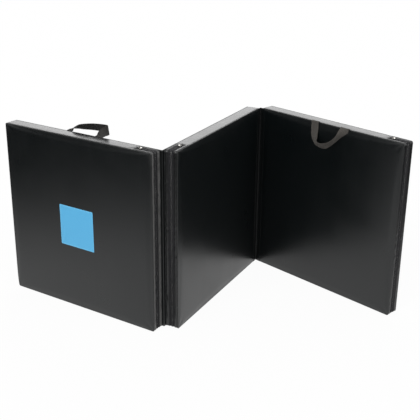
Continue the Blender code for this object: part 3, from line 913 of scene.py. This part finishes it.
def webbing_finish():
    """Herringbone webbing, read from the strap's own map in metres: U across and V along."""
    sheen = {"Sheen_Weight": 0.06, "Sheen_Tint": (0.75, 0.72, 0.68, 1), "Sheen_Roughness": 0.5}
    made, tree, shader = new_finish("handle_webbing", Roughness=0.8, Specular_IOR_Level=0.25, **sheen)
    maths = maths_in(tree)
    chart = node(tree, "ShaderNodeUVMap", uv_map="weave").outputs["UV"]
    split = node(tree, "ShaderNodeSeparateXYZ", {"Vector": chart})
    ribs = maths("PINGPONG", split.outputs["X"], RIB)
    slant = maths("ADD", split.outputs["Y"], ribs)
    thread = maths("SINE", maths("MULTIPLY", slant, 2 * math.pi / PICK))
    column = maths("SINE", maths("MULTIPLY", split.outputs["X"], 2 * math.pi / RIB))
    weave = maths("ADD", maths("MULTIPLY", thread, 0.6), maths("MULTIPLY", column, 0.4))
    place = node(tree, "ShaderNodeTexCoord").outputs["Object"]
    fuzz = node(tree, "ShaderNodeTexNoise", {"Vector": place, "Scale": 1400.0, "Detail": 2.0})
    faded = node(tree, "ShaderNodeTexNoise", {"Vector": place, "Scale": 45.0, "Detail": 3.0})
    patchy = maths("ADD", fuzz.outputs["Fac"], maths("MULTIPLY", faded.outputs["Fac"], 0.4))
    tone = maths("ADD", maths("MULTIPLY", weave, 0.30), patchy)
    # the attribute read here is painted light and shade: each part of a loop is lighter where it would be lit and
    # darker where it would be in shade
    wear_and_painted_light = node(tree, "ShaderNodeAttribute", attribute_name="fade").outputs["Fac"]
    strength = maths("ADD", maths("MULTIPLY", tone, 0.30), maths("MULTIPLY", wear_and_painted_light, 0.60))
    shade = node(tree, "ShaderNodeValToRGB", {"Fac": strength})
    shade.color_ramp.elements[0].position = 0.1
    shade.color_ramp.elements[0].color = (0.004, 0.005, 0.006, 1)
    shade.color_ramp.elements[1].position = 0.95
    shade.color_ramp.elements[1].color = (0.085, 0.078, 0.070, 1)
    tree.links.new(shade.outputs["Color"], shader.inputs["Base Color"])
    bump(tree, shader, maths("ADD", weave, maths("MULTIPLY", fuzz.outputs["Fac"], 0.5)), 0.0003, 0.8)
    return made


WEBBING = webbing_finish()


def strap(name, centres, across, body, side, fade):
    """A strap along the centres, as wide as the webbing in the directions across, with the painted light and shade
    given.
    """
    begin()
    rows = len(centres) - 1
    bpy.ops.mesh.primitive_grid_add(x_subdivisions=WEB_CELLS, y_subdivisions=rows, size=1)
    made = bpy.context.object
    grid = coordinates(made)
    index = np.round((grid[:, 1] + 0.5) * rows).astype(int)
    run = np.concatenate([[0], np.cumsum(np.linalg.norm(np.diff(centres, axis=0), axis=1))])
    set_coordinates(made, centres[index] + across[index] * (grid[:, 0] * WEB_WIDTH)[:, None])
    layer = made.data.uv_layers[0]
    layer.name = "weave"
    spots = np.empty(len(layer.data) * 2, np.float32)
    layer.data.foreach_get("uv", spots)
    spots = spots.reshape(-1, 2)
    spots[:, 0] *= WEB_WIDTH
    spots[:, 1] = np.interp(spots[:, 1] * rows, np.arange(rows + 1), run)
    layer.data.foreach_set("uv", spots.ravel())
    store(made, "fade", np.interp(index / rows, np.linspace(0, 1, len(fade)), fade))
    give_wall(made, WEB_THICK, 0)
    soften_edges(made, WEB_THICK * 0.3, 3, 60)
    settle(made, name, body, WEBBING, PLACES[side], 50)
    return made


def handle(side, loop, outward, hanging):
    along = np.array([1.0, 0, 0])
    away = np.array([0, 0, -1.0]) if hanging else np.array([0, outward, 0.0])
    normal = np.array([0, outward, 0.0]) if hanging else np.array([0, 0, 1.0])
    pivot = np.array([0, outward * PIVOT_OUT, PIVOT_HIGH])
    samples = catmull_rom(loop, WEB_STEPS)
    centres = samples[:, :1] * along + samples[:, 1:2] * away + samples[:, 2:3] * normal
    tangents = np.gradient(centres, axis=0)
    tangents[0], tangents[-1] = away, -away
    tangents /= np.linalg.norm(tangents, axis=1)[:, None]
    across = np.cross(tangents, normal)
    across /= np.linalg.norm(across, axis=1)[:, None]
    middle = np.mean([p[0] for p in loop])
    outwards = (samples[:, :1] - middle) * along + samples[:, 1:2] * away
    across[np.sum(across * outwards, 1) < 0] *= -1
    up = np.cross(tangents, across)
    up[up @ normal < 0] *= -1
    twist = np.radians(samples[:, 3:4])
    share = np.interp(np.linspace(0, 1, len(samples)), np.linspace(0, 1, len(WIDTHS[side])), WIDTHS[side])
    wide = (across * np.cos(twist) + up * np.sin(twist)) * share[:, None]
    made = strap(side + "_webbing_loop", centres + pivot, wide, side + "_handle_loop", side, LOOP_PAINTED_LIGHT[side])
    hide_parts(side + "_handle")
    for end, k in (("near", 0), ("far", -1)):
        path = catmull_rom([(loop[k][0], outward * y, z) for y, z in FOOT_PATH], 3)
        wide = np.tile(along * WIDTHS[side][k], (len(path), 1))
        fade = (LOOP_PAINTED_LIGHT[side][k], LOOP_PAINTED_LIGHT[side][k])
        foot = strap(f"{side}_webbing_{end}_end", path, wide, side + "_panel", side, fade)
        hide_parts(f"{side}_handle_{end}_foot")
    return made


handle("left", LEFT_LOOP, 1, False)
right_loop = handle("right", RIGHT_LOOP, -1, True)
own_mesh(right_loop)

# Patch: a square of sky-blue vinyl welded on the left panel's front, with a pressed line inside its
# edge. It is plain, and follows the fullness of the cover under it.
PATCH = 0.140
PATCH_PLACE = (-0.006, 0.291)  # of its middle, along the panel and up
PATCH_CELLS = 40
PATCH_AHEAD = -0.030  # through the panel, from where it is laid on the cover
PATCH_LIFT = 0.00045
PATCH_CORNER = 0.0020
PATCH_THICK = 0.0004
LINE_IN = 0.004  # from the patch's edge to its pressed line
LINE_WIDTH = 0.0016
LINE_DEPTH = 0.00022
EDGE_SINK = (0.002, 0.0002)  # (over what width, how far) the patch's edge is welded in
PATCH_RUB = 0.006  # how far in from its edge it is rubbed
PATCH_BLUE = (0.085, 0.420, 0.720)
PATCH_RUBBED = (0.16, 0.52, 0.80)
PATCH_VINYL = vinyl_finish("patch_vinyl", PATCH_BLUE, 0.42, 0.15, 0.4, PATCH_RUBBED, shine=0.5, relief=0.0003)


def vinyl_patch():
    begin()
    cells = {"x_subdivisions": PATCH_CELLS, "y_subdivisions": PATCH_CELLS}
    bpy.ops.mesh.primitive_grid_add(size=2, rotation=(math.pi / 2, 0, 0), **cells)
    bpy.ops.object.transform_apply(rotation=True)
    patch = bpy.context.object
    points = coordinates(patch)
    half = PATCH / 2
    x, z = rounded(points[:, 0] * half, points[:, 2] * half, PATCH_CORNER, half)
    ahead = np.full(len(x), PATCH_AHEAD)
    set_coordinates(patch, np.stack([x + PATCH_PLACE[0], ahead, z + PATCH_PLACE[1]], 1))
    patch.data.transform(PLACES["left"])
    wrap = patch.modifiers.new("wrap", "SHRINKWRAP")
    wrap.target = covers["left", "front"]
    wrap.wrap_method = "NEAREST_SURFACEPOINT"
    wrap.wrap_mode = "ABOVE_SURFACE"
    wrap.offset = PATCH_LIFT
    apply_all(patch)
    patch.data.transform(PLACES["left"].inverted())
    points = coordinates(patch)
    inside = half - np.abs(points[:, (0, 2)] - PATCH_PLACE).max(axis=1)
    points[:, 1] += LINE_DEPTH * np.exp(-(((inside - LINE_IN) / LINE_WIDTH) ** 2))
    points[:, 1] += EDGE_SINK[1] * np.clip(1 - inside / EDGE_SINK[0], 0, 1)
    set_coordinates(patch, points)
    store(patch, "rub", np.clip(1 - inside / PATCH_RUB, 0, 1))
    give_wall(patch, PATCH_THICK)
    settle(patch, "blue_vinyl_patch", "left_panel", PATCH_VINYL, PLACES["left"])
    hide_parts("blue_patch")


vinyl_patch()

# Studio: a white floor that goes back past the view, big soft lamps above, before and behind, and the
# photograph's own camera. The floor shows white to the camera and in gloss, and keeps a faint shadow.
CAMERA_PLACE = (-0.0142, -2.6222, 1.3362)
CAMERA_ASIDE = math.radians(0.845)
CAMERA_DOWN = math.radians(21.41)
CAMERA_ROLL = math.radians(0.616)
CAMERA_LENS = 70.88
FLOOR_SIZE = 40.0
FLOOR_COLOUR = (0.80, 0.80, 0.80, 1)
FLOOR_LIT = 0.05  # share of the floor's look near the mat that is its lit colour, the rest being plain white
# in the vinyl's gloss the floor is white up to one reach and falls to near black at the other
POOL_NEAR = 0.55
POOL_FAR = 2.1
POOL_DARK = 0.05
AMBIENT = 0.55
LAMP_AIM = (0, 0, 0.3)
# (name, place, size, power)
LAMPS = (
    ("key", (-1.6, -3.0, 3.2), (2.2, 2.2), 95.0),
    ("fill", (2.6, -2.0, 2.4), (2.0, 2.0), 40.0),
    ("back", (0.0, 2.6, 1.75), (4.0, 1.6), 30.0),
)


def seen_plainly(tree):
    """One where a ray comes from the camera, from gloss or through glass, and nought elsewhere."""
    maths = maths_in(tree)
    path = node(tree, "ShaderNodeLightPath").outputs
    direct = maths("MAXIMUM", path["Is Camera Ray"], path["Is Glossy Ray"])
    return path, maths("MAXIMUM", direct, path["Is Transmission Ray"])


def floor_finish():
    made = bpy.data.materials.new("studio_floor")
    made.use_nodes = True
    tree = made.node_tree
    tree.nodes.clear()
    maths = maths_in(tree)
    path, plainly = seen_plainly(tree)
    place = node(tree, "ShaderNodeTexCoord").outputs["Object"]
    reach = node(tree, "ShaderNodeVectorMath", {0: place}, operation="LENGTH").outputs["Value"]
    fall = {0: reach, 1: POOL_NEAR, 2: POOL_FAR, 3: 1.0, 4: POOL_DARK}
    pool = node(tree, "ShaderNodeMapRange", fall, interpolation_type="SMOOTHERSTEP")
    bright = maths("MAXIMUM", pool.outputs[0], path["Is Camera Ray"])
    white = node(tree, "ShaderNodeEmission", {"Color": (1, 1, 1, 1), "Strength": bright})
    lit = node(tree, "ShaderNodeBsdfDiffuse", {"Color": FLOOR_COLOUR})
    near = maths("MULTIPLY_ADD", pool.outputs[0], -FLOOR_LIT, 1.0)
    share = maths("MULTIPLY", plainly, near)
    mixed = node(tree, "ShaderNodeMixShader", {0: share, 1: lit.outputs[0], 2: white.outputs[0]})
    out = node(tree, "ShaderNodeOutputMaterial")
    tree.links.new(mixed.outputs[0], out.inputs["Surface"])
    return made


begin()
bpy.ops.mesh.primitive_plane_add(size=FLOOR_SIZE)
floor = bpy.context.object
floor.name = "studio_floor"
floor.data.materials.append(floor_finish())

world = bpy.data.worlds.new("studio")
bpy.context.scene.world = world
world.use_nodes = True
sky = world.node_tree
sky.nodes.clear()
soft = node(sky, "ShaderNodeBackground", {"Color": (1, 1, 1, 1), "Strength": AMBIENT})
white = node(sky, "ShaderNodeBackground", {"Color": (1, 1, 1, 1), "Strength": 1.0})
mixed = node(sky, "ShaderNodeMixShader", {0: seen_plainly(sky)[1], 1: soft.outputs[0], 2: white.outputs[0]})
sky.links.new(mixed.outputs[0], node(sky, "ShaderNodeOutputWorld").inputs["Surface"])

for name, place, size, power in LAMPS:
    lamp = bpy.data.lights.new(name, "AREA")
    lamp.shape = "RECTANGLE"
    lamp.size, lamp.size_y = size
    lamp.energy = power
    holder = bpy.data.objects.new(name, lamp)
    bpy.context.scene.collection.objects.link(holder)
    holder.location = place
    aim = Vector(LAMP_AIM) - Vector(place)
    holder.rotation_euler = aim.to_track_quat("-Z", "Y").to_euler()
    holder.visible_camera = False

camera_data = bpy.data.cameras.new("camera")
camera_data.lens = CAMERA_LENS
camera_data.sensor_width = 36.0
camera = bpy.data.objects.new("camera", camera_data)
bpy.context.scene.collection.objects.link(camera)
level = Vector((math.cos(CAMERA_ASIDE), -math.sin(CAMERA_ASIDE), 0))
ahead = Vector((0, 0, 1)).cross(level)
forward = ahead * math.cos(CAMERA_DOWN) - Vector((0, 0, math.sin(CAMERA_DOWN)))
above = level.cross(forward)
across = level * math.cos(CAMERA_ROLL) + above * math.sin(CAMERA_ROLL)
upward = above * math.cos(CAMERA_ROLL) - level * math.sin(CAMERA_ROLL)
turned = Matrix((across, upward, -forward)).transposed().to_4x4()
camera.matrix_world = Matrix.Translation(CAMERA_PLACE) @ turned
bpy.context.scene.camera = camera
bpy.context.scene.view_settings.view_transform = "Standard"
